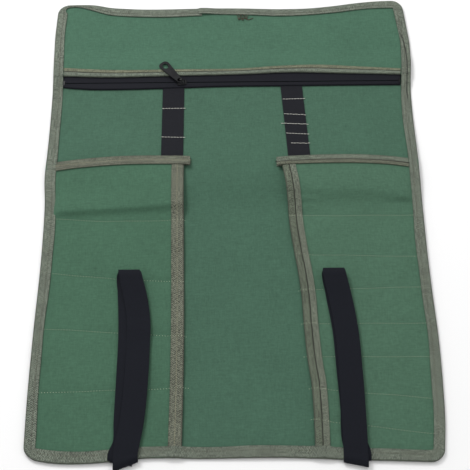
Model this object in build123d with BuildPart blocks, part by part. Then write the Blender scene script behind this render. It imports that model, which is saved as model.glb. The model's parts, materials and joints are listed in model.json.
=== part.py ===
"""Carving tool roll: a canvas sheet with a zipped pocket, two sewn tool pockets and two closing loops.

The roll lies open, face up. X runs across it, Y from its lower edge (with the closing loops) to its
zipped end, Z up. The origin is under the middle of the whole part. The zipped end is divided along
five fold lines, so that it rolls up over the face. Sizes are in millimetres.
"""

from build123d import *

import math
import os

os.makedirs("parts", exist_ok=True)

# ---- driving dimensions ----
roll_width = 430.0
roll_length = 600.0
corner_radius = 14.0
least_radius = 1.5  # inside a corner of the edge tape

canvas = 0.8  # thickness of the canvas
tape = 0.7  # thickness of one layer of binding tape
tape_width = 12.5  # width of the tape folded over the roll's edge
webbing = 1.3  # thickness of the webbing
webbing_width = 25.5
anchor = 0.7  # thickness of a strap end pressed flat under the edge
strap_room = 0.2  # beside a strap end, in the tape folded over it
fold_gap = 0.3  # clearance between two lengths of the roll at a fold line

fold_lines = (378.0, 418.0, 461.0, 520.0, 560.0)  # stations, measured from the lower edge

# tool pockets: seams as stations from the lower edge, the top seam being the pocket's upper edge
left_seams = (12.6, 77.0, 141.0, 206.0, 283.0, 358.0)
right_seams = (12.6, 36.0, 71.0, 112.0, 152.0, 194.0, 236.0, 287.0, 358.0)
pocket_top = 370.5
pocket_lift = 5.3  # how far a pocket stands off the back between its seams
seam_width = 2.4  # flat strip of pocket held down along a seam
pocket_ramp = 8.0  # run over which the pocket rises from a seam
flat_lift = 0.02  # what is left of the lift where the pocket is bound into the edge
pocket_pinch = 20.0  # length over which a pocket flattens towards the roll's edge
left_mouth = -54.5  # X of the left pocket's open side
left_mouth_tape = 14.0
right_mouth_tape = 15.5
right_mouth = (  # points of the right pocket's open side as (X, station)
    (81.3, 12.6),
    (80.6, 75.0),
    (76.5, 120.0),
    (73.0, 187.0),
    (67.0, 238.0),
    (62.0, 296.0),
    (56.5, 357.0),
)

# zipped pocket
zip_line = 475.7  # station of the slit between the two tapes
zip_slit = 1.1
zip_half = 202.3  # half of the zip's length
zip_tape = 0.5
coil_height = 1.0
coil_back = 1.1
tooth_length = 1.5
tooth_pitch = 2.2
tooth_tip = (0.25, 0.6)  # stretch of the pitch over which a tooth is at its full length
bare_tape = 3.0  # length without teeth at each end of the zip
stop_width, stop_length, stop_height = 1.8, 6.4, 0.8
stop_inset = 1.6  # from the zip's end to the middle of a stop
stop_bevel = 0.25
hem_low, hem_high = 484.0, 497.5  # bound lower edge of the zipped pocket's panel
panel_foot = 532.0  # station where the panel has come down on the back
zip_tape_foot = 467.8
zip_tape_rise = (468.6, 472.4)  # stations between which the lower tape climbs to the coils

# webbing strips under the zip: left edge X at its upper end, and how far it leans over its length
webbing_top = 467.3
webbing_foot = 371.0
left_webbing, left_webbing_lean = -82.5, 0.0
right_webbing, right_webbing_lean = 58.2, 6.2

# slider and pull tab
slider_x = -59.8
slider_length = 11.6
slider_width = 9.0
slider_nose_radius = 1.4
slider_tail = 0.72  # width of its tail, as a share of the slider's
slider_plate = 0.6
slider_plate_width = 8.2  # of the lower plate
slider_crown = 0.9  # thickness of the top plate
slider_bevel = 0.35
guide = 0.7  # thickness of the guides beside the coils
guide_shift = 2.0  # from the slider's middle towards its nose
running_gap = 0.25
post_length, post_width = 4.2, 0.6
post_inset = 1.0  # from the nose
bail_radius = 3.3  # middle of the bail's wire, at its rounded top
bail_rise = 1.75  # from the top plate to the bail's centre
bail_root = 0.1  # how far the bail's feet are let into the plate
bail_angle = math.radians(35.0)  # where on the bail the pull tab's eye hangs, from level
bail_wire = 0.8
bail_width = 1.0
pull_heading = 129.0  # direction of the lying pull tab in plan, degrees
pull_droop = 1.8
pull_length = 34.5  # from the middle of its eye to its tip
pull_tip = (11.0, 12.8)  # length and width of the broad tip
pull_tip_radius = 5.0
pull_thickness = 1.1
pull_eye = 2.6
pull_eye_wall = 0.9
pull_hole = (8.0, 6.8)
pull_hole_from_tip = 7.2
pull_bevel = 0.3

# closing loops: middle of each layer of strap as (X, station)
strap_height = 8.6  # lower face of the strap over the tool pockets
strap_gap = 0.4  # between the two layers of a loop
loop_end = 216.0
loop_eye = 6.0  # height of the open eye at the fold, inside
eye_start = 186.0
eye_floor = 204.0  # station from which the lower layer runs straight on into the eye
layer_lap = 2.0  # how far a layer runs into what it joins
heel = 14.0  # station where the two layers part
heel_front = (1.2, 3.7)  # station and height of the strap's lower face at the edge
heel_nose = (-0.1, 5.2)  # and of its upper face
eye_rise = 17.0  # length over which the upper layer climbs to the eye
strap_axis = (0.6, 4.5)  # station and height of the line about which a loop turns
strap_knuckle = 1.0
loops = {
    "left": (
        ((-114.5, 10), (-114.0, 29), (-111.4, 95), (-110.9, 140), (-113.2, 190), (-114.0, 212)),
        ((-110.6, 10), (-108.0, 29), (-103.6, 95), (-103.0, 135), (-106.6, 185), (-109.6, 200)),
    ),
    "right": (
        ((121.6, 10), (121.0, 52), (119.4, 98), (117.6, 140), (111.5, 190), (108.6, 212)),
        ((122.4, 10), (122.4, 52), (121.0, 98), (119.0, 140), (113.6, 185), (110.4, 200)),
    ),
}

# ---- levels and places that follow ----
base_low = tape
base_top = base_low + canvas
middle = (roll_length - anchor) / 2  # station of the part's middle, the strap ends included
half_width = roll_width / 2
inner_half = half_width - tape_width

slider_low = base_top + running_gap
coil_low = slider_low + slider_plate + running_gap
coil_top = coil_low + coil_height
zip_top = coil_top + zip_tape
slider_top_low = zip_top + running_gap
slider_top = slider_top_low + slider_crown
hem_bottom = zip_top  # lower face of the tape bound over the panel's lower edge
panel_high = hem_bottom + tape  # lower face of the panel at the zip
hem_top = panel_high + canvas + tape


def y_at(station):
    """Frame Y of a station measured from the lower edge."""
    return station - middle


def keep(piece, name):
    """Name a finished piece and write it."""
    piece.part.label = name
    export_step(piece.part, f"parts/{name}.step")


def rectangle_between(x_low, x_high, low, high, mode=Mode.ADD):
    """Rectangle in the current sketch between two X values and two stations."""
    with Locations(((x_low + x_high) / 2, y_at((low + high) / 2))):
        Rectangle(x_high - x_low, high - low, mode=mode)


def edge_ring(width):
    """Ring of the given width along the roll's outline, in the current sketch."""
    inner_radius = max(corner_radius - width, least_radius)
    with Locations((0, y_at(roll_length / 2))):
        RectangleRounded(roll_width, roll_length, corner_radius)
        RectangleRounded(roll_width - 2 * width, roll_length - 2 * width, inner_radius, mode=Mode.SUBTRACT)


def edge_binding(zones):
    """Tape folded round the roll's edge; each zone is (x_low, x_high, low, high, layers of canvas)."""
    with BuildPart() as binding:
        for x_low, x_high, low, high, layers in zones:
            upper = base_low + layers * canvas
            for width, z_low, z_high in (
                (tape_width, 0, base_low),
                (tape, base_low, upper),
                (tape_width, upper, upper + tape),
            ):
                with BuildSketch(Plane.XY.offset(z_low)):
                    edge_ring(width)
                    rectangle_between(x_low, x_high, low, high, Mode.INTERSECT)
                extrude(amount=z_high - z_low)
    return binding


def flat_cloth(low, high, z_low, thickness):
    """Length of cloth inside the edge binding between two stations."""
    with BuildPart() as cloth:
        with BuildSketch(Plane.XY.offset(z_low)):
            with Locations((0, y_at(roll_length / 2))):
                RectangleRounded(roll_width - 2 * tape, roll_length - 2 * tape, corner_radius - tape)
            rectangle_between(-half_width, half_width, low, high, Mode.INTERSECT)
        extrude(amount=thickness)
    return cloth


def clip_to_roll(low, high, inset):
    """Keep what lies between two stations and inside the roll's outline."""
    with BuildSketch(Plane.XY) as outline:
        with Locations((0, y_at(roll_length / 2))):
            RectangleRounded(roll_width - 2 * inset, roll_length - 2 * inset, corner_radius - inset)
        rectangle_between(-half_width, half_width, low, high, Mode.INTERSECT)
    return outline.sketch.face()


eased_ramp = ((0, 0), (0.3, 0.15), (0.7, 0.85), (1, 1))  # points of a step, as shares of its run and rise
plain_ramp = ((0, 0), (1, 1))


def slope(start, stop, ramp=eased_ramp):
    """Step between two points of the current line."""
    run, rise = stop[0] - start[0], stop[1] - start[1]
    Polyline(*[(start[0] + along * run, start[1] + up * rise) for along, up in ramp])


# ---- tool pockets ----
left_slots = (left_seams, plain_ramp)
right_slots = (right_seams, eased_ramp)


def pocket_curve(slots, lift, level, flange):
    """Line of a pocket's surface, raised between the seams; its upper edge is raised by the flange."""
    seams, ramp = slots
    edge_level = level + flange
    Line((y_at(0.8), level), (y_at(seams[0]), level))
    for low, high in zip(seams, seams[1:]):
        start = y_at(low) + seam_width / 2
        stop = y_at(high) - seam_width / 2
        last = high == seams[-1]
        stop_level = edge_level if last else level
        Line((y_at(low), level), (start, level))
        slope((start, level), (start + pocket_ramp, level + lift), ramp)
        Line((start + pocket_ramp, level + lift), (stop - pocket_ramp, level + lift))
        slope((stop - pocket_ramp, level + lift), (stop, stop_level), ramp)
        Line((stop, stop_level), (y_at(high), stop_level))
    Line((y_at(seams[-1]), edge_level), (y_at(pocket_top - tape), edge_level))


def pocket_profile(slots, lift, low_offset, high_offset, flange, plane):
    """Section of a pocket's cloth between two offsets from its lower face, on a YZ plane."""
    with BuildSketch(plane) as section:
        with BuildLine():
            pocket_curve(slots, lift, base_top + low_offset, flange)
            pocket_curve(slots, lift, base_top + high_offset, flange)
            Line((y_at(0.8), base_top + low_offset), (y_at(0.8), base_top + high_offset))
            top = base_top + flange
            Line((y_at(pocket_top - tape), top + low_offset), (y_at(pocket_top - tape), top + high_offset))
        make_face()
    return section.sketch.face()


def pocket_cloth(slots, x_edge, x_mouth, low_offset, high_offset):
    """Pocket cloth from the roll's edge, where it is flat, to its open side."""
    side = 1 if x_mouth > x_edge else -1
    x_bound = x_edge + side * (tape_width - tape)
    x_full = x_bound + side * pocket_pinch
    pressed = high_offset - flat_lift  # the bound edge is pressed flat, no higher than the tape over it
    bound = pocket_profile(slots, flat_lift, low_offset, pressed, flat_lift / 2, Plane.YZ.offset(x_edge))
    flat = pocket_profile(slots, flat_lift, low_offset, pressed, flat_lift / 2, Plane.YZ.offset(x_bound))
    full = pocket_profile(slots, pocket_lift, low_offset, high_offset, tape, Plane.YZ.offset(x_full))
    with BuildPart() as cloth:
        extrude(bound, amount=x_bound - x_edge)
        loft([flat, full], ruled=True)
        extrude(full, amount=x_mouth - x_full)
        extrude(clip_to_roll(0, roll_length, tape), amount=20, mode=Mode.INTERSECT)
    return cloth


def right_mouth_plan(inset, width):
    """Plan of a strip along the right pocket's slanted open side."""
    low, high = right_mouth[0], right_mouth[-1]
    with BuildSketch() as plan:
        with BuildLine():
            near = [(x + inset, y_at(station)) for x, station in right_mouth]
            far = [(x + inset + width, y_at(station)) for x, station in right_mouth]
            Spline(*near)
            Spline(*far)
            Line((low[0] + inset, y_at(low[1])), (low[0] + inset + width, y_at(low[1])))
            Line((high[0] + inset, y_at(high[1])), (high[0] + inset + width, y_at(high[1])))
        make_face()
    return plan.sketch.face()


def folded_tape(cloth, slots, x_edge, x_mouth, plan):
    """Tape folded over a pocket's open side, above and below its cloth, resting on the back at the seams."""
    with BuildPart() as folded:
        add(pocket_cloth(slots, x_edge, x_mouth, -tape, canvas + tape).part)
        extrude(plan, amount=20, mode=Mode.INTERSECT)
        add(cloth.part, mode=Mode.SUBTRACT)
        with BuildSketch(Plane.XY):
            rectangle_between(-half_width, half_width, 0, roll_length)
        extrude(amount=base_top, mode=Mode.SUBTRACT)
    return folded


def top_tape(x_edge, x_mouth):
    """Tape folded over a pocket's upper edge and sewn down to the back."""
    flange = base_top + tape
    x_full = x_edge + math.copysign(pocket_pinch, x_mouth - x_edge)
    with BuildPart() as folded:
        for x_start, low, z_low, z_high in (
            (x_full, left_seams[-1], base_top, flange),
            (x_full, pocket_top - tape, flange, flange + canvas),
            (x_edge, left_seams[-1], flange + canvas, flange + canvas + tape),
        ):
            with BuildSketch(Plane.XY.offset(z_low)):
                rectangle_between(min(x_start, x_mouth), max(x_start, x_mouth), low, pocket_top)
            extrude(amount=z_high - z_low)
    return folded


left_edge = -(half_width - tape)
left_pocket_panel = pocket_cloth(left_slots, left_edge, left_mouth - tape, 0, canvas)
with BuildSketch() as left_mouth_plan:
    rectangle_between(left_mouth - left_mouth_tape, left_mouth, left_seams[0], left_seams[-1] - 0.4)
left_pocket_mouth_binding = folded_tape(
    left_pocket_panel, left_slots, left_edge, left_mouth, left_mouth_plan.sketch.face()
)
left_pocket_top_binding = top_tape(-inner_half, left_mouth + 5)

right_edge = half_width - tape
right_start = right_mouth[-1][0] - 1
with BuildPart() as right_pocket_panel:
    add(pocket_cloth(right_slots, right_edge, right_start, 0, canvas).part)
    mouth_cut = right_mouth_plan(tape - 40, 40)
    extrude(mouth_cut, amount=20, mode=Mode.SUBTRACT)
    with BuildSketch(Plane.XY):
        rectangle_between(0, right_mouth[0][0] + tape, 0, right_mouth[0][1])
        rectangle_between(0, right_mouth[-1][0] + tape, right_mouth[-1][1], pocket_top)
    extrude(amount=20, mode=Mode.SUBTRACT)
right_pocket_mouth_binding = folded_tape(
    right_pocket_panel, right_slots, right_edge, right_start, right_mouth_plan(0, right_mouth_tape)
)
right_pocket_top_binding = top_tape(inner_half, right_mouth[-1][0] - 4)

# ---- back canvas and edge binding, one length for each part of the roll ----
edges = (0.0, *fold_lines, roll_length)
lengths = ("", "_turn_1", "_turn_2", "_turn_3", "_turn_4", "_turn_5")


def length_limits(index):
    """Stations of one length of the roll, short of the fold lines at its ends by half a gap."""
    low = edges[index] + (fold_gap / 2 if index else 0)
    high = edges[index + 1] - (fold_gap / 2 if index < len(fold_lines) else 0)
    return low, high


back_canvas = []
for index, suffix in enumerate(lengths):
    low, high = length_limits(index)
    back_canvas.append(flat_cloth(low, high, base_low, canvas))

left_zone = (-half_width, -inner_half)
right_zone = (inner_half, half_width)
side_layers = {0: ((12.5, pocket_top, 2), (pocket_top, 378.0, 1)), 1: ((0, 600, 1),), 2: ((0, 600, 1),)}
side_layers[5] = ((0, roll_length - tape_width, 2),)
side_bindings = []
for index, layers in side_layers.items():
    low, high = length_limits(index)
    for side, (x_low, x_high) in (("left", left_zone), ("right", right_zone)):
        zones = [(x_low, x_high, max(low, start), min(high, stop), count) for start, stop, count in layers]
        side_bindings.append((f"edge_binding_{side}{lengths[index]}", edge_binding(zones)))

edge_binding_top = edge_binding([(-half_width, half_width, roll_length - tape_width, roll_length, 2)])

# the binding's lower half leaves room for the two strap ends that pass under the edge
heel_x = {side: (lower[0][0] + upper[0][0]) / 2 for side, (lower, upper) in loops.items()}
bottom_zones = (
    (-half_width, left_mouth, 0, tape_width, 2),
    (left_mouth, right_mouth[0][0], 0, tape_width, 1),
    (right_mouth[0][0], half_width, 0, tape_width, 2),
)
with BuildPart() as edge_binding_bottom:
    add(edge_binding(bottom_zones).part)
    with BuildSketch(Plane.XY):
        for x in heel_x.values():
            room = webbing_width / 2 + strap_room
            rectangle_between(x - room, x + room, -1, tape_width + 1)
    extrude(amount=base_low, mode=Mode.SUBTRACT)


# ---- zipped pocket ----
def panel_line(offset):
    """Line of the zipped pocket's panel from its bound lower edge to the top of the roll."""
    high, flat = panel_high + offset, base_top + offset
    Line((y_at(hem_low + tape), high), (y_at(hem_high + 1), high))
    slope((y_at(hem_high + 1), high), (y_at(panel_foot), flat))
    Line((y_at(panel_foot), flat), (y_at(roll_length - tape), flat))


def zip_panel(low, high):
    """Length of the zipped pocket's panel between two stations."""
    with BuildSketch(Plane.YZ.offset(-(half_width - tape))) as section:
        with BuildLine():
            panel_line(0)
            panel_line(canvas)
            Line((y_at(hem_low + tape), panel_high), (y_at(hem_low + tape), panel_high + canvas))
            top = y_at(roll_length - tape)
            Line((top, base_top), (top, base_top + canvas))
        make_face()
    with BuildPart() as panel:
        extrude(section.sketch.face(), amount=roll_width - 2 * tape)
        extrude(clip_to_roll(low, high, tape), amount=20, mode=Mode.INTERSECT)
    return panel


def bound_line(offset):
    """Top of what the side binding holds beside the zip, with a height added."""
    flat, held = base_top + offset, base_top + canvas + offset
    Line((y_at(fold_lines[2]), flat), (y_at(zip_tape_foot - 1), flat))
    slope((y_at(zip_tape_foot - 1), flat), (y_at(zip_line - 2), zip_top + offset))
    Line((y_at(zip_line - 2), zip_top + offset), (y_at(hem_low - 3), zip_top + offset))
    slope((y_at(hem_low - 3), zip_top + offset), (y_at(hem_low + 1), hem_top + offset))
    Line((y_at(hem_low + 1), hem_top + offset), (y_at(hem_high), hem_top + offset))
    slope((y_at(hem_high), hem_top + offset), (y_at(panel_foot), held))
    Line((y_at(panel_foot), held), (y_at(fold_lines[4]), held))


def bound_section(offset, floor, plane):
    """Section under the side binding beside the zip, down to a floor."""
    with BuildSketch(plane) as section:
        with BuildLine():
            bound_line(offset)
            ends = y_at(fold_lines[2]), y_at(fold_lines[4])
            Line((ends[0], base_top + offset), (ends[0], floor))
            Line((ends[0], floor), (ends[1], floor))
            Line((ends[1], floor), (ends[1], base_top + canvas + offset))
        make_face()
    return section.sketch.face()


def zip_side_binding(side, low, high):
    """Tape folded over the side edge where the zip and its pocket enter it."""
    with BuildPart() as binding:
        plane = Plane.YZ.offset(side * inner_half)
        extrude(bound_section(tape, 0, plane), amount=side * tape_width)
        extrude(bound_section(0, base_low, plane), amount=side * (tape_width - tape), mode=Mode.SUBTRACT)
        extrude(clip_to_roll(low, high, 0), amount=20, mode=Mode.INTERSECT)
    return binding


for index in (3, 4):
    low, high = length_limits(index)
    for name, side in (("left", -1), ("right", 1)):
        side_bindings.append((f"edge_binding_{name}{lengths[index]}", zip_side_binding(side, low, high)))

zip_panels = []
for index in (3, 4, 5):
    low, high = length_limits(index)
    zip_panels.append((f"zip_pocket_panel{lengths[index]}", zip_panel(low, high)))


def across(half, section_points):
    """Prism along X, to both sides of the middle, with a YZ section."""
    with BuildPart() as prism:
        with BuildSketch(Plane.YZ.offset(-half)):
            with BuildLine():
                Polyline(*[(y_at(station), z) for station, z in section_points], close=True)
            make_face()
        extrude(amount=2 * half)
    return prism


panel_top = panel_high + canvas
zip_pocket_binding = across(
    zip_half,
    (
        (hem_low, hem_bottom),
        (hem_high, hem_bottom),
        (hem_high, panel_high),
        (hem_low + tape, panel_high),
        (hem_low + tape, panel_top),
        (hem_high, panel_top),
        (hem_high, hem_top),
        (hem_low, hem_top),
    ),
)
zip_tape_upper = across(
    zip_half,
    (
        (zip_line + zip_slit / 2, coil_top),
        (hem_high - 0.5, coil_top),
        (hem_high - 0.5, zip_top),
        (zip_line + zip_slit / 2, zip_top),
    ),
)
with BuildPart() as zip_tape_lower:
    with BuildSketch(Plane.YZ.offset(-zip_half)):
        with BuildLine():
            stations = (zip_tape_foot, *zip_tape_rise, zip_line - zip_slit / 2)
            foot, rise, crest, edge = (y_at(station) for station in stations)
            for z_add in (0, zip_tape):
                Line((foot, base_top + z_add), (rise, base_top + z_add))
                slope((rise, base_top + z_add), (crest, coil_top + z_add))
                Line((crest, coil_top + z_add), (edge, coil_top + z_add))
            Line((foot, base_top), (foot, base_top + zip_tape))
            Line((edge, coil_top), (edge, coil_top + zip_tape))
        make_face()
    extrude(amount=2 * zip_half)


def coil(side):
    """Row of teeth under one zip tape: a back with teeth reaching to the slit."""
    count = int(2 * (zip_half - bare_tape) / tooth_pitch)
    start = -count * tooth_pitch / 2 + (tooth_pitch / 2 if side > 0 else 0)
    tip = zip_line + side * zip_slit / 2
    root = tip + side * tooth_length
    back = root + side * coil_back
    outline = [(start, back)]
    for tooth in range(count):
        x = start + tooth * tooth_pitch
        for along, station in ((0, root), (tooth_tip[0], tip), (tooth_tip[1], tip)):
            outline.append((x + along * tooth_pitch, station))
    outline.append((start + count * tooth_pitch, root))
    outline.append((start + count * tooth_pitch, back))
    with BuildPart() as row:
        with BuildSketch(Plane.XY.offset(coil_low)):
            with BuildLine():
                Polyline(*[(x, y_at(station)) for x, station in outline], close=True)
            make_face()
        extrude(amount=coil_height)
    return row


zip_coil_upper = coil(1)
zip_coil_lower = coil(-1)

# a stop at each end of the zip closes the slit over both tapes
with BuildPart() as zip_end_stops:
    with BuildSketch(Plane.XY.offset(zip_top)):
        with Locations(*[(side * (zip_half - stop_inset), y_at(zip_line)) for side in (-1, 1)]):
            Rectangle(stop_width, stop_length)
    extrude(amount=stop_height)
    chamfer(zip_end_stops.faces().sort_by(Axis.Z)[-1].edges(), length=stop_bevel)

# ---- slider: two plates joined by a post in the slit, with a bail for the pull tab ----
slider_y = y_at(zip_line)
with BuildPart() as zip_slider:
    for z_low, thickness, width in (
        (slider_low, slider_plate, slider_plate_width),
        (slider_top_low, slider_crown, slider_width),
    ):
        with BuildSketch(Plane.XY.offset(z_low)) as plate:
            with BuildLine():
                nose, tail = slider_x - slider_length / 2, slider_x + slider_length / 2
                half, rear = width / 2, slider_tail * width / 2
                Polyline(
                    (nose, slider_y - half),
                    (slider_x, slider_y - half),
                    (tail, slider_y - rear),
                    (tail, slider_y + rear),
                    (slider_x, slider_y + half),
                    (nose, slider_y + half),
                    close=True,
                )
            make_face()
            fillet(plate.vertices(), radius=slider_nose_radius)
        extrude(amount=thickness)
    rim = zip_slider.faces().sort_by(Axis.Z)[-1].edges()
    chamfer(rim, length=slider_bevel)
    for side in (-1, 1):  # guides that rise from the lower plate beside the coils
        with BuildSketch(Plane.XY.offset(slider_low)):
            with Locations((slider_x - guide_shift, slider_y + side * (slider_width / 2 - guide))):
                Rectangle(slider_length / 2, guide)
        extrude(amount=coil_low + coil_height / 2 - slider_low)
    with BuildSketch(Plane.XY.offset(slider_low)):  # post that parts the two rows of teeth
        with Locations((slider_x - slider_length / 2 + post_inset + post_length / 2, slider_y)):
            SlotOverall(post_length, post_width)
    extrude(amount=slider_top - slider_low - slider_bevel)
    bail_centre = slider_top + bail_rise
    with BuildSketch(Plane.XZ.offset(-slider_y - bail_width / 2)):
        for half_wire, mode in ((bail_wire / 2, Mode.ADD), (-bail_wire / 2, Mode.SUBTRACT)):
            reach = bail_radius + half_wire
            with Locations((slider_x, bail_centre)):
                Circle(reach, mode=mode)
            with Locations((slider_x, bail_centre - bail_radius / 2)):
                Rectangle(2 * reach, bail_radius, mode=mode)
        with Locations((slider_x, slider_top - bail_root - slider_width / 2)):
            Rectangle(slider_length, slider_width, mode=Mode.SUBTRACT)
    extrude(amount=bail_width)

# ---- pull tab: its eye hangs on the bail and the tab lies on the panel ----
pull_root = Vector(
    slider_x - bail_radius * math.cos(bail_angle), slider_y, bail_centre + bail_radius * math.sin(bail_angle)
)
heading, droop = math.radians(pull_heading), math.radians(pull_droop)
pull_direction = Vector(
    math.cos(heading) * math.cos(droop), math.sin(heading) * math.cos(droop), -math.sin(droop)
)
pull_axis = Vector(math.sin(heading), -math.cos(heading), 0)
pull_plane = Plane(origin=pull_root, x_dir=pull_direction, z_dir=pull_direction.cross(pull_axis) * -1)
with BuildPart() as pull_tab:
    with BuildSketch(pull_plane.offset(-pull_thickness / 2)):
        Circle(pull_eye + pull_eye_wall)
        with Locations((pull_length - pull_tip[0] / 2, 0)):
            RectangleRounded(*pull_tip, pull_tip_radius)
        make_hull()
        Circle(pull_eye, mode=Mode.SUBTRACT)
        with Locations((pull_length - pull_hole_from_tip, 0)):
            Ellipse(pull_hole[0] / 2, pull_hole[1] / 2, mode=Mode.SUBTRACT)
    extrude(amount=pull_thickness)
    broad_faces = pull_tab.faces().sort_by(SortBy.AREA)[-2:]
    chamfer([edge for face in broad_faces for edge in face.outer_wire().edges()], length=pull_bevel)


# ---- webbing strips between the tool pockets and the zip ----
def webbing_strip(x_top, lean, low, high):
    """Length of a webbing strip; its lower end is further right by the lean."""
    slant = lean / (webbing_top - webbing_foot)
    x_low, x_high = x_top + slant * (webbing_top - low), x_top + slant * (webbing_top - high)
    with BuildPart() as strip:
        with BuildSketch(Plane.XY.offset(base_top)):
            with BuildLine():
                Polyline(
                    (x_low, y_at(low)),
                    (x_low + webbing_width, y_at(low)),
                    (x_high + webbing_width, y_at(high)),
                    (x_high, y_at(high)),
                    close=True,
                )
            make_face()
        extrude(amount=webbing)
    return strip


webbing_strips = []
for index in range(4):
    low, high = length_limits(index)
    low, high = max(low, webbing_foot), min(high, webbing_top)
    for side, x_top, lean in (
        ("left", left_webbing, left_webbing_lean),
        ("right", right_webbing, right_webbing_lean),
    ):
        name = f"webbing_{side}{lengths[index] or '_foot'}"
        webbing_strips.append((name, webbing_strip(x_top, lean, low, high)))


# ---- closing loops ----
lower_top = strap_height + webbing
upper_low = lower_top + strap_gap
strap_top = upper_low + webbing
eye_inner = loop_eye / 2
eye_centre = (loop_end - eye_inner - webbing, lower_top + eye_inner)


def rectangle_between_yz(y_low, y_high, z_low, z_high, mode=Mode.ADD):
    """Rectangle in a YZ sketch between two frame Y values and two heights."""
    with Locations(((y_low + y_high) / 2, (z_low + z_high) / 2)):
        Rectangle(y_high - y_low, z_high - z_low, mode=mode)


def strap_layer(points, end, z_low):
    """One flat layer of strap along a gently curved middle line."""
    with BuildPart() as layer:
        with BuildSketch(Plane.XY.offset(z_low)):
            with BuildLine():
                for side in (-1, 1):
                    Spline(*[(x + side * webbing_width / 2, y_at(station)) for x, station in points])
                for x, station in (points[0], points[-1]):
                    Line((x - webbing_width / 2, y_at(station)), (x + webbing_width / 2, y_at(station)))
            make_face()
            rectangle_between(-half_width, half_width, heel - 0.5, end, Mode.INTERSECT)
        extrude(amount=webbing)
    return layer


def strap_loop(lower, upper):
    """Doubled strap: a heel at the roll's edge, two layers and the open eye at its fold."""
    x_heel = (lower[0][0] + upper[0][0]) / 2
    x_eye = lower[-1][0]
    eye_y, eye_z = y_at(eye_centre[0]), eye_centre[1]
    with BuildPart() as loop:
        add(strap_layer(lower, eye_floor + layer_lap, strap_height).part)
        add(strap_layer(upper, eye_start + layer_lap, upper_low).part)
        with BuildSketch(Plane.YZ.offset(x_heel - webbing_width / 2)):
            with BuildLine():
                Polyline(
                    (y_at(heel_front[0]), heel_front[1]),
                    (y_at(heel - 1), strap_height),
                    (y_at(heel + 1), strap_height),
                    (y_at(heel + 1), strap_top),
                    (y_at(heel - 1), strap_top),
                    (y_at(heel_nose[0]), heel_nose[1]),
                    close=True,
                )
            make_face()
            with Locations((y_at(strap_axis[0]), strap_axis[1])):
                Circle(strap_knuckle)
        extrude(amount=webbing_width)
        with BuildSketch(Plane.YZ.offset(x_eye - webbing_width / 2)):
            with Locations((eye_y, eye_z)):
                Circle(eye_inner + webbing)
                Circle(eye_inner, mode=Mode.SUBTRACT)
            rectangle_between_yz(eye_y - 20, eye_y, 0, 40, Mode.SUBTRACT)
            rectangle_between_yz(y_at(eye_floor), eye_y, strap_height, lower_top)
            with BuildLine():
                rise_start, rise_stop = y_at(eye_start), y_at(eye_start + eye_rise)
                for z_add in (0, webbing):
                    slope((rise_start, upper_low + z_add), (rise_stop, lower_top + loop_eye + z_add))
                    Line((rise_stop, lower_top + loop_eye + z_add), (eye_y, lower_top + loop_eye + z_add))
                Line((rise_start, upper_low), (rise_start, upper_low + webbing))
                Line((eye_y, lower_top + loop_eye), (eye_y, lower_top + loop_eye + webbing))
            make_face()
        extrude(amount=webbing_width)
    return loop


strap_parts = []
for side, (lower, upper) in loops.items():
    strap_parts.append((f"closing_loop_{side}", strap_loop(lower, upper)))
    x = heel_x[side]
    with BuildPart() as strap_end:  # end of the strap, sewn under the edge and turned up in front of it
        with BuildSketch(Plane.XY):
            rectangle_between(x - webbing_width / 2, x + webbing_width / 2, -anchor, tape_width)
        extrude(amount=anchor)
        with BuildSketch(Plane.XY):
            rectangle_between(x - webbing_width / 2, x + webbing_width / 2, -anchor, 0)
        extrude(amount=base_top + canvas + tape)
    strap_parts.append((f"strap_end_{side}", strap_end))

# ---- write every piece ----
single_pieces = {
    "edge_binding_top": edge_binding_top,
    "edge_binding_bottom": edge_binding_bottom,
    "left_pocket_panel": left_pocket_panel,
    "left_pocket_mouth_binding": left_pocket_mouth_binding,
    "left_pocket_top_binding": left_pocket_top_binding,
    "right_pocket_panel": right_pocket_panel,
    "right_pocket_mouth_binding": right_pocket_mouth_binding,
    "right_pocket_top_binding": right_pocket_top_binding,
    "zip_pocket_binding": zip_pocket_binding,
    "zip_tape_upper": zip_tape_upper,
    "zip_tape_lower": zip_tape_lower,
    "zip_coil_upper": zip_coil_upper,
    "zip_coil_lower": zip_coil_lower,
    "zip_end_stops": zip_end_stops,
    "zip_slider": zip_slider,
    "pull_tab": pull_tab,
}
for suffix, cloth in zip(lengths, back_canvas):
    keep(cloth, f"back_canvas{suffix}")
for name, piece in [*side_bindings, *zip_panels, *webbing_strips, *strap_parts, *single_pieces.items()]:
    keep(piece, name)
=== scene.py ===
"""Carving tool roll: its cloth, tapes, webbing, straps, stitches and finishes, made around its solids.

Lengths are in millimetres until a mesh is made. A place on the roll is (x, station, z): x from its
middle, station from its lower edge, z from what it lies on. Cloth and tapes are drawn on the flat roll
and then laid, which lets their edges wander and swells them a little. The closing loops are drawn as
they lie.
"""

import json
import math

import bpy
import numpy as np
from mathutils import Matrix, Vector


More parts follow.
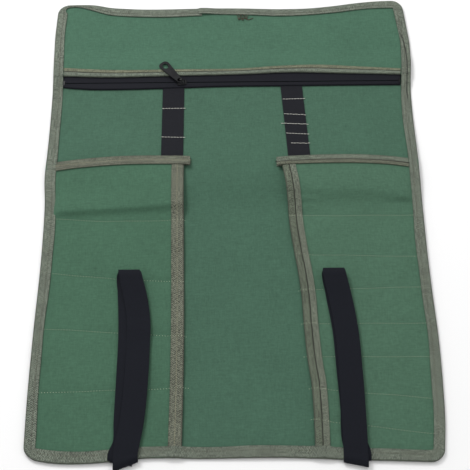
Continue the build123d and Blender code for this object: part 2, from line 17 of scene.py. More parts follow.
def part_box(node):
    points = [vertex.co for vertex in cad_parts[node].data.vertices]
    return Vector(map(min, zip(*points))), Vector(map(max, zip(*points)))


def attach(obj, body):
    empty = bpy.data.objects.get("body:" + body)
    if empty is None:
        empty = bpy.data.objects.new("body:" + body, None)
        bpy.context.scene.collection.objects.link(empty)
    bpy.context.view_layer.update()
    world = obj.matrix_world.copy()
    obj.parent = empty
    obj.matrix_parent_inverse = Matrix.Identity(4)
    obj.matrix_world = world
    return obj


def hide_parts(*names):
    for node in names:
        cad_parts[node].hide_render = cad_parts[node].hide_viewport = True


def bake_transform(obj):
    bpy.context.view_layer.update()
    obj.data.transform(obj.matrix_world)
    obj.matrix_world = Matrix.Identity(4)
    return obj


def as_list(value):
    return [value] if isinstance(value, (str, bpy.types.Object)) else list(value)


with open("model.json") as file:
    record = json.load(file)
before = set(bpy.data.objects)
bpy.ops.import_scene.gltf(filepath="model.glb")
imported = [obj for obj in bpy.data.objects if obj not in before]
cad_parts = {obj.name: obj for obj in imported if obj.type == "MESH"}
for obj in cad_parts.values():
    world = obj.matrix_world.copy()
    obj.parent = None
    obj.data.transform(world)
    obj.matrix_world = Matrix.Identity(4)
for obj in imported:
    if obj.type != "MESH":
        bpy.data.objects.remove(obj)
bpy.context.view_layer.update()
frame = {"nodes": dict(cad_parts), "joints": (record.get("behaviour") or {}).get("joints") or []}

MM = 0.001
edge_low, edge_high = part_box("edge_binding_bottom")
webbing_low, webbing_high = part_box("webbing_left_foot")
slider_low, slider_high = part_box("zip_slider")
zip_low, zip_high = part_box("zip_tape_upper")
hem_low, hem_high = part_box("zip_pocket_binding")
EDGE_Y = edge_low.y  # frame Y of the roll's lower edge


def station_of(y):
    """Station of a frame Y."""
    return (y - EDGE_Y) / MM


def axis_station(joint):
    """Station of a hinge across the roll."""
    found = next(j for j in frame["joints"] if j["name"] == joint)
    return station_of(found["pos_m"][1])


# ---- sizes ----
HALF_WIDTH = edge_high.x / MM
LENGTH = station_of(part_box("edge_binding_top")[1].y)
CORNER = 14.0  # radius of the roll's corners
CANVAS = 0.8  # thickness of the canvas
TAPE = 0.7  # and of the binding tape
TAPE_REACH = 12.5  # width of the edge tape on each face
BASE_TOP = TAPE + CANVAS  # upper face of the back canvas
CLEAR = 0.04  # air between cloths that lie on one another
EDGE_CLEAR = 0.05  # air under the edge tape and the zip's front tape
WEBBING_CLEAR = 0.12  # air under the webbing
EDGE_TAPE_CUT = 25.5  # widths and lengths as the tapes and the pockets' cloth were cut
HEM_TAPE_CUT = 23
FRONT_TAPE_CUT = 10.5
MOUTH_TAPE_CUT = 358
TOP_TAPE_CUT = (25, 156)
POCKET_CUT = 368
WEBBING = (webbing_high.z - webbing_low.z) / MM
WEBBING_WIDTH = (webbing_high.x - webbing_low.x) / MM
ZIP_LINE = station_of((slider_low.y + slider_high.y) / 2)
ZIP_HALF = zip_high.x / MM
ZIP_TAPE_LOW = zip_low.z / MM
ZIP_TAPE = 0.5  # thickness of the zip's woven tapes
STRAP = 1.1  # and of a closing loop's strap
STRAP_WIDTH = 25.0
SLIT = 1.1  # gap between the zip's two tapes
HEM_LOW = station_of(hem_low.y)
HEM_HIGH = station_of(hem_high.y)
PANEL_HIGH = hem_low.z / MM + TAPE  # lower face of the zipped pocket's panel at its hem
PANEL_FOOT = 532.0  # station past which the panel lies on the back
PANEL_CUT = 540.0  # station where the panel's two lengths meet
SLOT_EDGE = HALF_WIDTH - 12  # x where the edge tape ends and the pockets' seams start

FOLDS = [axis_station(f"roll_up_{number}") for number in range(1, 6)]
BODIES = ("root", "turn_1", "turn_2", "turn_3", "turn_4", "turn_5")
SUFFIX = ("", "_turn_1", "_turn_2", "_turn_3", "_turn_4", "_turn_5")  # of the nodes' names, by body
CUTS = (0.0, 398.0, 439.5, 500.0, PANEL_CUT, LENGTH)  # the cloth is made in lengths with one fold in each
BEND_HALF = (14.0, 12.0, 10.0, 14.0, 13.0)  # half of the stretch that bends at each fold


# ---- shapes of lines and surfaces ----
def smooth(*points):
    """Smooth function through (place, value) points, level beyond its ends."""
    knots, values = (np.array(column, float) for column in zip(*points))
    if len(knots) > 2:
        slopes = np.gradient(values, knots)
    else:
        slopes = np.zeros(2) + (values[1] - values[0]) / (knots[1] - knots[0])

    def curve(place):
        place = np.clip(place, knots[0], knots[-1])
        i = np.clip(np.searchsorted(knots, place) - 1, 0, len(knots) - 2)
        span = knots[i + 1] - knots[i]
        t = (place - knots[i]) / span
        return (
            (1 + 2 * t) * (1 - t) ** 2 * values[i]
            + t * (1 - t) ** 2 * span * slopes[i]
            + t * t * (3 - 2 * t) * values[i + 1]
            - t * t * (1 - t) * span * slopes[i + 1]
        )

    return curve


def ease(low, high, value):
    """0 before low, 1 after high, eased between."""
    t = np.clip((value - low) / (high - low), 0, 1)
    return t * t * (3 - 2 * t)


def ridge(middle, half, value):
    """Rounded bump, 1 at its middle, that dies away over a few halves."""
    return np.exp(-(((value - middle) / half) ** 2))


def flat_at(height):
    """Level surface, as a function of a place."""
    return lambda x, s: np.full(np.shape(x), height)


# how far the roll's edges wander, by station on its sides and by x on its ends
left_drift = smooth(
    (0, -0.7), (60, -1.2), (140, -0.2), (235, 2.3), (308, 1.7), (343, -0.2), (372, 0.6), (478, 0.7),
    (551, -1), (591, 0.3),
)
right_drift = smooth(
    (0, -2.4), (11, -1.6), (39, 1.4), (79, 2.9), (130, 3.1), (198, 0.7), (240, -0.3), (283, -0.6),
    (370, -1), (430, -1.9), (458, -1.6), (510, 1.9), (532, 2.3), (559, 0.4), (594, -2.5),
)
top_drift = smooth(
    (-206, -2), (-190, -1.6), (-169, -2.6), (-149, -6.9), (-130, -8.7), (23, -9.1), (64, -10.9),
    (98, -10.6), (125, -7.7), (159, -2.6), (186, 0), (206, 0.6),
)
bottom_drift = smooth(
    (-209, 0.8), (-190, -3), (-157, -4.6), (-133, -3.3), (-97, 0.4), (-30, 0), (55, 0), (107, -2.4),
    (169, -4.6), (204, -6),
)
MARK_HEIGHT = 4.6  # of the bulge that is left where the stored roll was folded
FOLD_LEAN = 0.75  # how far that bulge leans towards the lower edge, for its height
CALM_MIDDLE = 10  # of the strip that lies flat, above the zip's line
STRAP_X = (-112.5, 122)  # of the straps, where they pass under the lower edge


def fold_mark(x, s):
    """Height of the bulge where the roll was folded."""
    along = ease(299, 346, s) * (1 - ease(352, 440, s))
    return MARK_HEIGHT * along * (1 - 0.35 * ease(120, 210, np.abs(x)))


def swell(x, s):
    """Height by which the cloth lifts off what the roll lies on."""
    wave = 0.55 * (1 + np.sin(x / 41 + 0.9) * np.sin(s / 57 + 0.4))
    wave += 0.3 * (1 + np.sin(x / 23 + s / 61))
    lively = 0.01 + 0.99 * ease(26, 56, np.abs(s - ZIP_LINE - CALM_MIDDLE))
    strap_ends = sum(ridge(middle, 15, x) for middle in STRAP_X) * (1 - ease(8, 26, s))
    return fold_mark(x, s) + wave * lively * (1 - 0.8 * strap_ends) + STRAP * strap_ends


def laid(x, s, z):
    """A place on the flat roll, as it lies."""
    left, right = ease(-120, -195, x), ease(120, 195, x)
    low, high = 1 - ease(8, 70, s), ease(508, 592, s)
    lying_x = x + left * left_drift(s) + right * right_drift(s)
    lying_s = s + low * bottom_drift(x) + high * top_drift(x) - FOLD_LEAN * fold_mark(x, s)
    return np.stack([lying_x, lying_s, z + swell(x, s)], -1)


def to_frame(points):
    """Points (x, station, z) in millimetres, in the frame's metres."""
    points = np.array(points, float) * MM
    points[..., 1] += EDGE_Y
    return points


def at(x, s, z=0.0):
    """One place as a point of the frame."""
    return Vector((x * MM, s * MM + EDGE_Y, z * MM))


def added(name, data):
    """New object in the scene."""
    made = bpy.data.objects.new(name, data)
    bpy.context.scene.collection.objects.link(made)
    return made


# ---- meshes ----
SHARP = 40  # degrees past which a mesh shows an edge


def new_piece(name, vertices, faces, uv, material):
    """Object from vertices in frame metres, faces of four corners and a UV for each vertex."""
    mesh = bpy.data.meshes.new(name)
    a, b, c = vertices[np.concatenate([faces[:, :3], faces[:, [0, 2, 3]]])].swapaxes(0, 1)
    volume = (a * np.cross(b, c)).sum()
    if volume < 0:
        faces = faces[:, ::-1]
    mesh.from_pydata(vertices.tolist(), [], faces.tolist())
    layer = mesh.uv_layers.new(name="weave")
    layer.data.foreach_set("uv", uv[faces.ravel()].astype(np.float32).ravel())
    mesh.shade_smooth()
    mesh.set_sharp_from_angle(angle=math.radians(SHARP))
    mesh.materials.append(material)
    return added(name, mesh)


def sheet_faces(rows, columns):
    """Faces of a closed sheet: an upper grid of points, a lower one, and the wall between."""
    index = np.arange(rows * columns).reshape(rows, columns)
    a, b, c, d = index[:-1, :-1], index[1:, :-1], index[1:, 1:], index[:-1, 1:]
    upper = np.stack([a, b, c, d], -1).reshape(-1, 4)
    below = rows * columns
    lower = upper[:, ::-1] + below
    rim = np.concatenate([index[0, :], index[1:, -1], index[-1, -2::-1], index[-2:0:-1, 0]])
    after = np.roll(rim, -1)
    wall = np.stack([rim, after, after + below, rim + below], -1)
    return np.concatenate([upper, lower, wall])


def sheet_piece(name, upper, lower, uv, material):
    """Closed sheet between two grids of frame points."""
    rows, columns = upper.shape[:2]
    vertices = np.concatenate([upper.reshape(-1, 3), lower.reshape(-1, 3)])
    weave = np.concatenate([uv.reshape(-1, 2)] * 2) * MM
    return new_piece(name, vertices, sheet_faces(rows, columns), weave, material)


def cloth(name, sides, ends, height, thickness, material, step=(4.0, 4.0), foot=None, head=None):
    """Cloth between two lines down its sides and two stations; height gives its lower face. A foot or a
    head gives the station of its lower or upper end by x, near the station it stands for."""
    (x_low, x_high), (low, high) = sides, ends
    stations = np.linspace(low, high, max(2, round((high - low) / step[1]) + 1))
    width = np.max(x_high(stations) - x_low(stations))
    across = np.linspace(0, 1, max(2, round(width / step[0]) + 1))
    s, share = np.meshgrid(stations, across, indexing="ij")
    x = x_low(s) + share * (x_high(s) - x_low(s))
    climb = (s - low) / (high - low)
    if foot is not None:
        s = s + (1 - climb) * (foot(x) - low)
    if head is not None:
        s = s + climb * (head(x) - high)
    return laid_sheet(name, x, s, height(x, s), thickness, material)


def laid_sheet(name, x, s, z, thickness, material, from_station=0.0):
    """Closed sheet on a grid of places; z is its lower face, and its weave is counted from a station."""
    upper, lower = (to_frame(laid(x, s, level)) for level in (z + thickness, z))
    return sheet_piece(name, upper, lower, np.stack([x, s - from_station], -1), material)


BELOW = np.array([1, 0.7, 0.35, 0.0])  # places across a folded tape's lower half
ABOVE = np.array([0.0, 0.12, 0.26, 0.4, 0.49, 0.55, 0.66, 0.8, 0.94, 1.0])  # and across its upper half
PLAIN = (0, 0.3, 0.6, 1, 1, 1, 1, 1.1, 2.2, 3.6)  # how it bulges there, in crowns
SEWN = (0, 0.7, 1.5, 1.3, 0.0, 0.0, 1.3, 1.7, 1.9, 3.0)  # and how when it is sewn down its middle
CROWN = 0.25  # height of the bulge
NOSE = 1.2  # length of the rounded fold


def fold_tape(name, path, low, high, material, reach, under, thickness=TAPE, crown=CROWN, form=PLAIN):
    """Tape folded over an edge. A path point is (x, station, inward x, inward station); low and high give
    the lower and upper faces of what it holds; reach and under are its widths above and below, and reach
    may vary along the path. Returns the piece and a function that gives its upper face along the path, at
    a share of its width."""
    reach = np.broadcast_to(reach, len(path))[:, None]
    turn = np.linspace(0, math.pi, 7)[1:-1]
    turned = len(BELOW) + len(turn)
    depth = np.concatenate(
        [
            np.broadcast_to(NOSE + BELOW * (under - NOSE), (len(path), len(BELOW))),
            np.broadcast_to(NOSE - (NOSE - thickness / 2) * np.sin(turn), (len(path), len(turn))),
            NOSE + (reach - NOSE) * ABOVE,
        ],
        axis=1,
    )
    level = np.concatenate([np.zeros(len(BELOW)), (1 - np.cos(turn)) / 2, np.ones(len(ABOVE))])
    rise = np.concatenate([np.zeros(turned), form]) * crown
    x = path[:, 0:1] + path[:, 2:3] * depth
    s = path[:, 1:2] + path[:, 3:4] * depth
    z = (1 - level) * (low(x, s) - thickness / 2) + level * (high(x, s) + thickness / 2) + rise
    along_depth, along_z = np.gradient(depth, axis=1), np.gradient(z, axis=1)
    size = np.hypot(along_depth, along_z)
    out_depth, out_z = -along_z / size, along_depth / size
    length = np.cumsum(np.hypot(*np.diff(path[:, :2], axis=0, prepend=path[:1, :2]).T))
    above = NOSE + (reach.mean() - NOSE) * ABOVE
    across = np.concatenate([-NOSE - under * BELOW, np.linspace(-NOSE, 0, len(turn)), above])
    uv = np.stack(np.broadcast_arrays(length[:, None], across[None, :]), -1)
    faces = []
    for side in (0.5, -0.5):
        shifted = depth + side * thickness * out_depth
        x = path[:, 0:1] + path[:, 2:3] * shifted
        s = path[:, 1:2] + path[:, 3:4] * shifted
        faces.append(to_frame(laid(x, s, z + side * thickness * out_z)))

    def on_top(share):
        column = turned + np.interp(share, ABOVE, np.arange(len(ABOVE)))
        near = min(int(column), faces[0].shape[1] - 2)
        here, there = faces[0][:, near], faces[0][:, near + 1]
        return here + (column - near) * (there - here)

    return sheet_piece(name, faces[0], faces[1], uv, material), on_top


def straight(start, stop, step=4.0):
    """Path points along a line, with the inward side on the left."""
    start, stop = np.array(start, float), np.array(stop, float)
    length = np.linalg.norm(stop - start)
    along = (stop - start) / length
    count = max(2, round(length / step) + 1)
    points = np.linspace(start, stop, count)
    return np.column_stack([points, np.full(count, -along[1]), np.full(count, along[0])])


def sideways(x, s, inward):
    """Path points across the roll, with the cloth above them (1) or below (-1)."""
    return np.column_stack([x, s, np.zeros(len(x)), np.full(len(x), float(inward))])


def corner(x, s, start, stop):
    """Path points round a corner of the roll, from one direction to another in degrees."""
    angle = np.radians(np.linspace(start, stop, 13))[1:-1]
    out = np.column_stack([np.cos(angle), np.sin(angle)])
    return np.column_stack([x + CORNER * out[:, 0], s + CORNER * out[:, 1], -out])


# ---- finishes ----
class Wire:
    """An output in a material. Arithmetic on it adds Math nodes."""

    def __init__(self, paint, socket):
        self.paint = paint
        self.socket = socket

    def maths(self, operation, *values):
        inputs = dict(enumerate((self, *values)))
        return self.paint.node("ShaderNodeMath", {"operation": operation}, inputs)

    def __add__(self, other):
        return self.maths("ADD", other)

    def __sub__(self, other):
        return self.maths("SUBTRACT", other)

    def __mul__(self, other):
        return self.maths("MULTIPLY", other)

    def __truediv__(self, other):
        return self.maths("DIVIDE", other)

    def __rsub__(self, other):
        return (self * -1) + other

    __radd__ = __add__
    __rmul__ = __mul__

    def sine(self):
        return self.maths("SINE")

    def absolute(self):
        return self.maths("ABSOLUTE")

    def fraction(self):
        return self.maths("FRACT")

    def clamped(self):
        return self.paint.node("ShaderNodeClamp", {}, {"Value": self})


class Paint:
    """A material and the nodes that feed it."""

    def __init__(self, name, **surface):
        self.material = bpy.data.materials.new(name)
        self.material.use_nodes = True
        self.tree = self.material.node_tree
        self.surface = self.tree.nodes["Principled BSDF"]
        for socket, value in surface.items():
            self.surface.inputs[socket.replace("_", " ")].default_value = value

    def node(self, kind, settings, inputs, output=0):
        """Adds a node, its settings first, then its sockets' values or links."""
        made = self.tree.nodes.new(kind)
        for setting, value in settings.items():
            setattr(made, setting, value)
        for key, value in inputs.items():
            socket = made.inputs[key]
            if isinstance(value, Wire):
                self.tree.links.new(value.socket, socket)
            else:
                socket.default_value = value
        return Wire(self, made.outputs[output])

    def place(self, source="Object", scale=(1, 1, 1)):
        """Coordinates of a point, scaled."""
        start = self.node("ShaderNodeTexCoord", {}, {}, source)
        return self.node("ShaderNodeMapping", {}, {"Vector": start, "Scale": scale})

    def parts(self, vector):
        """The X and Y of a vector."""
        split = self.tree.nodes.new("ShaderNodeSeparateXYZ")
        self.tree.links.new(vector.socket, split.inputs[0])
        return Wire(self, split.outputs[0]), Wire(self, split.outputs[1])

    def noise(self, vector, scale, detail=2.0, roughness=0.5):
        settings = {"Vector": vector, "Scale": scale, "Detail": detail, "Roughness": roughness}
        return self.node("ShaderNodeTexNoise", {}, settings)

    def blend(self, share, first, second):
        """Colour between two others."""
        return self.node("ShaderNodeMix", {"data_type": "RGBA"}, {0: share, 6: first, 7: second}, 2)

    def feed(self, **sockets):
        for socket, wire in sockets.items():
            self.tree.links.new(wire.socket, self.surface.inputs[socket.replace("_", " ")])

    def bump(self, height, distance, strength=1.0):
        """Relief of a height from 0 to 1, of the given depth in metres."""
        relief = {"Strength": strength, "Distance": distance, "Height": height}
        self.feed(Normal=self.node("ShaderNodeBump", {}, relief))


def linear(value):
    """Linear value of an sRGB one from 0 to 255."""
    return value / 255 / 12.92 if value < 10.3 else ((value / 255 + 0.055) / 1.055) ** 2.4


def shade(red, green, blue, gain=1.0):
    """Linear colour of an sRGB one."""
    return (*[min(1.0, gain * linear(value)) for value in (red, green, blue)], 1.0)


LIGHTNESS = 0.86  # of cloth colours, which were judged under the scene's own light
TURN = 2 * math.pi


def two_tones(colour, tone, gain=LIGHTNESS):
    """A darker and a lighter shade of a colour."""
    return (shade(*[c * (1 + side * tone) for c in colour], gain) for side in (-1, 1))


def woven(name, colour, pitch=0.85, tone=0.16):
    """Plain-woven canvas with slubbed threads and a slightly uneven dye."""
    paint = Paint(name, Roughness=0.86, Sheen_Weight=0.02, Sheen_Roughness=0.6, Specular_IOR_Level=0.1)
    x, y = paint.parts(paint.place())
    per_metre = TURN / (pitch * MM)
    weave = (x * per_metre).sine() * (y * per_metre).sine()
    weft = paint.noise(paint.place(scale=(0.12, 1, 1)), 900)
    warp = paint.noise(paint.place(scale=(1, 0.12, 1)), 900)
    cloudy = paint.noise(paint.place(), 16, 4, 0.6)
    grain = paint.noise(paint.place(), 420)
    threads = (weft - 0.5) * 0.6 + (warp - 0.5) * 0.5
    share = 0.5 + threads + (cloudy - 0.5) * 0.3 + (grain - 0.5) * 0.5 + weave * 0.1
    paint.feed(Base_Color=paint.blend(share.clamped(), *two_tones(colour, tone)))
    paint.feed(Roughness=0.8 + weft * 0.12)
    paint.bump(weave * 0.35 + weft * 0.5 + warp * 0.4, 0.00022, 0.7)
    return paint.material


# colour of the dark line down a sewn tape's middle: painted shadow of its groove, over its sunk thread
SEAM_THREAD_AND_SHADOW = shade(44, 42, 34)
# colour of the painted shade along a tape's fold
PAINTED_FOLD_SHADE = shade(50, 53, 46)
FOLD_SHADE_REACH = 2.2  # how far the painted shade reaches from a tape's fold


def herringbone(name, outer, inner=None, middle=0.0, tone=0.4, pitch=2.6, panel=5.2):
    """Twill tape: diagonal ribs that change side from one band to the next, with painted shade along the
    fold.
    With an inner colour it has a seam at its middle, counted from the fold, and takes that colour past it;
    the seam's dark line is painted shadow of its groove, over its sunk thread."""
    paint = Paint(name, Roughness=0.8, Sheen_Weight=0.03, Sheen_Roughness=0.5, Specular_IOR_Level=0.15)
    along, across = paint.parts(paint.place("UV"))
    fold = ((across / (panel * MM)).fraction() - 0.5).absolute() * (panel * MM)
    ribs = ((along + fold) * (TURN / (pitch * MM))).sine()
    fleck = paint.noise(paint.place("UV"), 480)
    worn = paint.noise(paint.place(), 60, 3, 0.6)
    share = (0.5 + ribs * 0.3 + (fleck - 0.5) * 2.1 + (worn - 0.5) * 0.5).clamped()
    halves = [paint.blend(share, *two_tones(colour, tone)) for colour in (outer, inner or outer)]
    past_middle = (across - middle * MM) * (1 / MM)
    colour = paint.blend((past_middle * 1.6 + 0.5).clamped(), *halves)
    if inner:
        # painted shadow of the seam's groove, over its sunk thread, in a narrow band at the middle
        seam = (0.62 - past_middle.absolute() * 0.7).clamped()
        colour = paint.blend(seam, colour, SEAM_THREAD_AND_SHADOW)
    # painted shade in a narrow band along the tape's fold
    fold_shade = (0.55 - (across + 0.2 * MM).absolute() * (0.55 / (FOLD_SHADE_REACH * MM))).clamped()
    paint.feed(Base_Color=paint.blend(fold_shade, colour, PAINTED_FOLD_SHADE))
    paint.feed(Roughness=0.74 + fleck * 0.14)
    paint.bump(ribs * 0.3 + fleck * 0.5, 0.00028, 0.8)
    return paint.material


def ribbed(name, colour, pitch=1.25, tone=0.22, depth=0.0002, roughness=0.7):
    """Webbing with ribs along its length and fine picks across it."""
    paint = Paint(name, Roughness=roughness, Sheen_Weight=0.01, Sheen_Roughness=0.4, Specular_IOR_Level=0.1)
    along, across = paint.parts(paint.place("UV"))
    ribs = (across * (TURN / (pitch * MM))).sine()
    picks = (along * (TURN / (0.7 * MM))).sine()
    fluff = paint.noise(paint.place(), 500, 3)
    share = 0.5 + ribs * 0.2 + picks * 0.08 + (fluff - 0.5) * 0.9
    paint.feed(Base_Color=paint.blend(share.clamped(), *two_tones(colour, tone)))
    paint.feed(Roughness=roughness - 0.05 + fluff * 0.15)
    paint.bump(ribs * 0.45 + picks * 0.2 + fluff * 0.3, depth, 0.8)
    return paint.material


def spun(name, colour):
    """Sewing thread."""
    paint = Paint(name, Roughness=0.55, Specular_IOR_Level=0.4)
    strands = paint.noise(paint.place(), 2500)
    paint.feed(Base_Color=paint.blend(strands, *two_tones(colour, 0.15)))
    paint.bump(strands, 0.0001, 0.6)
    return paint.material


def enamelled(name, colour):
    """Lacquered die-cast metal, worn a little brighter here and there."""
    paint = Paint(name, Metallic=0.0, Roughness=0.3, Specular_IOR_Level=0.22)
    wear = paint.noise(paint.place(), 700, 4, 0.6)
    rough = paint.noise(paint.place(), 180, 3)
    bright = shade(*[c * 1.5 for c in colour])
    paint.feed(Base_Color=paint.blend((wear * 1.6 - 0.5).clamped(), shade(*colour), bright))
    paint.feed(Roughness=0.16 + rough * 0.2)
    paint.bump(wear, 0.00004, 0.5)
    return paint.material


def moulded(name, colour):
    """Nylon teeth with a soft gloss."""
    paint = Paint(name, Roughness=0.38, Specular_IOR_Level=0.5)
    drawn = paint.noise(paint.place(scale=(0.2, 1, 1)), 1500)
    paint.feed(Base_Color=paint.blend(drawn, *two_tones(colour, 0.2, 1.0)))
    paint.feed(Roughness=0.32 + drawn * 0.15)
    return paint.material


# one canvas in four greens: the back, the zipped pocket's panel and the two pockets are set lighter or
# darker as the light falls on each, which is painted light and shade
back_green = woven("back_green", (75, 108, 90))
panel_green = woven("panel_green", (78, 114, 94))
left_green = woven("left_pocket_green", (76, 111, 90))
right_green = woven("right_pocket_green", (80, 113, 93))
olive_tape = herringbone("olive_tape", (103, 110, 99))
left_olive = herringbone("left_pocket_olive", (99, 102, 90))
hem_olive = herringbone("hem_tape_olive", (104, 112, 100), (110, 113, 95), 5.6)
right_mouth_olive = herringbone("right_mouth_olive", (90, 97, 84), (100, 106, 94), 8.0)
right_top_olive = herringbone("right_top_olive", (102, 109, 97), (92, 95, 82), 7.0)
black_webbing = ribbed("black_webbing", (33, 34, 39))
black_strap = ribbed("black_strap", (26, 28, 35), pitch=0.9, depth=0.0001, roughness=0.75)
black_zip_tape = ribbed("black_zip_tape", (32, 33, 39), pitch=0.8)
black_nylon = moulded("black_nylon", (30, 31, 36))
black_enamel = enamelled("black_enamel", (16, 17, 19))
pale_thread = spun("pale_thread", (215, 215, 206))
green_thread = spun("green_thread", (200, 212, 182))
olive_thread = spun("olive_thread", (146, 144, 116))
brown_thread = spun("brown_thread", (78, 72, 58))
dark_thread = spun("dark_thread", (26, 24, 21))


# ---- fitting pieces to the frame ----
def finish_piece(piece, slot, bodies, fold=None, nodes=(), flat=None, held="laid", rests_on=()):
    """Parents a piece to the body it follows, or bakes its place into its mesh when it spans two bodies,
    and hides the solids that it stands for. Flat is how large its cloth was cut, as (width, length).
    """
    if len(bodies) == 1:
        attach(piece, bodies[0])
    else:
        start, stop = fold
        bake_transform(piece)
        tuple(start)
        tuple(stop)
    if nodes:
        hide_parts(*nodes)
    if flat:
        flat[0] * MM
        flat[1] * MM
        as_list(rests_on)


def joined(index):
    """The two bodies that one length of cloth joins, and the start and end of the stretch that bends."""
    middle, half = FOLDS[index], BEND_HALF[index]
    return BODIES[index : index + 2], (at(0, middle - half), at(0, middle + half))


# ---- sewing ----
def sewing_tree():
    """Geometry Nodes that lay stitches along the edges of a mesh."""
    tree = bpy.data.node_groups.new("sewing", "GeometryNodeTree")
    for name, kind in (
        ("Rows", "NodeSocketGeometry"),
        ("Pitch", "NodeSocketFloat"),
        ("Stitch", "NodeSocketFloat"),
        ("Girth", "NodeSocketFloat"),
        ("Thread", "NodeSocketMaterial"),
    ):
        tree.interface.new_socket(name, in_out="INPUT", socket_type=kind)
    tree.interface.new_socket("Stitches", in_out="OUTPUT", socket_type="NodeSocketGeometry")

    def node(kind, inputs, **settings):
        made = tree.nodes.new(kind)
        for setting, value in settings.items():
            setattr(made, setting, value)
        for key, value in inputs.items():
            if isinstance(value, bpy.types.NodeSocket):
                tree.links.new(value, made.inputs[key])
            else:
                made.inputs[key].default_value = value
        return made.outputs

    given = node("NodeGroupInput", {})
    rows = node("GeometryNodeMeshToCurve", {"Mesh": given["Rows"]})[0]
    points = node("GeometryNodeResampleCurve", {"Curve": rows, "Length": given["Pitch"]}, mode="LENGTH")[0]
    bead = node("GeometryNodeMeshCylinder", {"Vertices": 8, "Radius": 0.5, "Depth": 1.0})["Mesh"]
    tangent = node("GeometryNodeInputTangent", {})[0]
    facing = node("FunctionNodeAlignRotationToVector", {"Vector": tangent}, axis="Z")[0]
    uneven = node("FunctionNodeRandomValue", {2: 0.88, 3: 1.06, "Seed": 7}, data_type="FLOAT")[1]
    long = node("ShaderNodeMath", {0: given["Stitch"], 1: uneven}, operation="MULTIPLY")[0]
    size = node("ShaderNodeCombineXYZ", {"X": given["Girth"], "Y": given["Girth"], "Z": long})[0]
    placed = {"Points": points, "Instance": bead, "Rotation": facing, "Scale": size}
    beads = node("GeometryNodeInstanceOnPoints", placed)[0]
    solid = node("GeometryNodeRealizeInstances", {"Geometry": beads})[0]
    rounded = node("GeometryNodeSetShadeSmooth", {"Geometry": solid})[0]
    threaded = node("GeometryNodeSetMaterial", {"Geometry": rounded, "Material": given["Thread"]})[0]
    node("NodeGroupOutput", {"Stitches": threaded})
    return tree


SEWING = sewing_tree()


def plain_mesh(carrier, tree, **inputs):
    """Runs a Geometry Nodes tree on an object and keeps the result as its own plain mesh."""
    modifier = carrier.modifiers.new("made", "NODES")
    modifier.node_group = tree
    for item in tree.interface.items_tree:
        if item.item_type == "SOCKET" and item.in_out == "INPUT" and item.name in inputs:
            modifier[item.identifier] = inputs[item.name]
    evaluated = carrier.evaluated_get(bpy.context.evaluated_depsgraph_get())
    made = bpy.data.meshes.new_from_object(evaluated)
    made.name = carrier.name
    carrier.modifiers.clear()
    carrier.data = made


def row(x, s, level):
    """Row of sewing through places on the roll; level gives the height of what it is sewn into."""
    return to_frame(laid(x, s, level(x, s)))


def sew(name, rows, thread, bodies, fold=None, pitch=3.4, stitch=2.7, girth=0.5):
    """Rows of stitches as one piece."""
    mesh = bpy.data.meshes.new(name)
    points = np.concatenate(rows)
    ends = np.cumsum([len(line) for line in rows])
    edges = [(i, i + 1) for i in range(len(points) - 1) if i + 1 not in ends]
    mesh.from_pydata(points.tolist(), edges, [])
    piece = added(name, mesh)
    plain_mesh(piece, SEWING, Pitch=pitch * MM, Stitch=stitch * MM, Girth=girth * MM, Thread=thread)
    finish_piece(piece, "binding_tape", bodies, fold)


# ---- back canvas ----
base_level = flat_at(TAPE)


def canvas_half(s):
    """Half width of the canvas inside its edge tape, rounded at the roll's corners."""
    inner = HALF_WIDTH - TAPE
    near = np.minimum(s, LENGTH - s) - TAPE
    fall = np.clip(CORNER - near, 0, CORNER)
    return inner - CORNER + np.sqrt(np.maximum(CORNER**2 - fall**2, 0))


canvas_sides = (lambda s: -canvas_half(s), canvas_half)

for index in range(5):
    low, high = max(CUTS[index], TAPE), min(CUTS[index + 1], LENGTH - TAPE)
    piece = cloth(f"back_cloth_{index + 1}", canvas_sides, (low, high), base_level, CANVAS, back_green)
    nodes = [f"back_canvas{SUFFIX[index]}"] + (["back_canvas_turn_5"] if index == 4 else [])
    finish_piece(piece, "canvas", *joined(index), nodes, (2 * HALF_WIDTH, high - low), rests_on=nodes)


# ---- tool pockets ----
SEAM_ROUND = 7  # how fast a pocket's cloth rises from a seam
CREASE = 5.0  # height of the fold across a pocket's upper part


